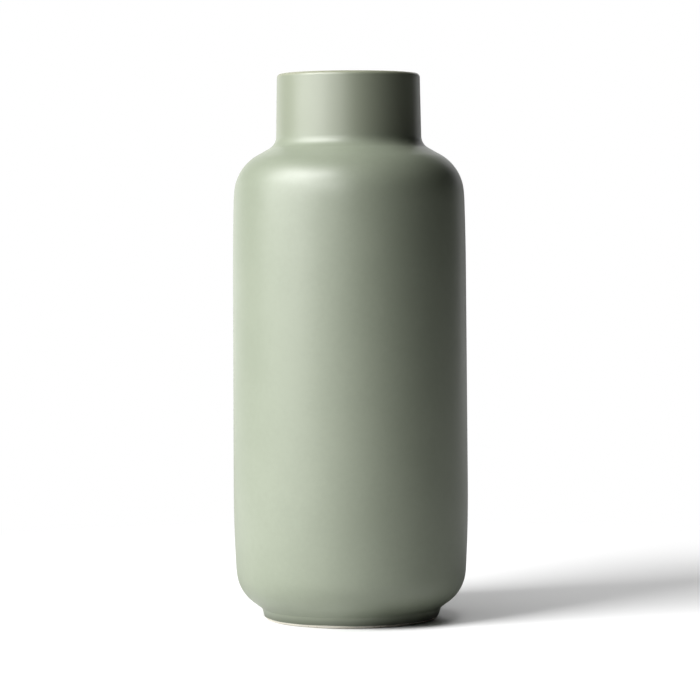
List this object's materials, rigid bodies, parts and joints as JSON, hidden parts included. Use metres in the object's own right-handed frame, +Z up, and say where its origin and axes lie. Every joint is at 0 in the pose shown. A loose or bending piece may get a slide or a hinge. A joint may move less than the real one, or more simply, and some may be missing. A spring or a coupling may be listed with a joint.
{
  "type": "vase",
  "caption": "Tall bottle vase in satin sage-green glazed stoneware, with a short wide neck, rounded shoulder, barrel body and low bare foot ring, for water and cut stems.",
  "frame": {"origin": "on the vase's axis, on the surface that its foot stands on", "axes": "+Z up along the axis of the vase; X and Y are free because it is a body of revolution"},
  "size_m": [0.1294, 0.1294, 0.3],
  "materials": {
    "bare_stoneware": "unglazed, fine-grained and matt",
    "sage_glaze": "satin, with a broad soft highlight",
    "liner_glaze": "semi-gloss"
  },
  "bodies": {
    "root": {"foot_ring": "bare_stoneware", "base_dish": "bare_stoneware", "body_wall": "bare_stoneware", "shoulder": "bare_stoneware", "neck_collar": "bare_stoneware", "outer_glaze": "sage_glaze", "liner_glaze": "liner_glaze", "underside_glaze": "sage_glaze"}
  },
  "joints": []
}
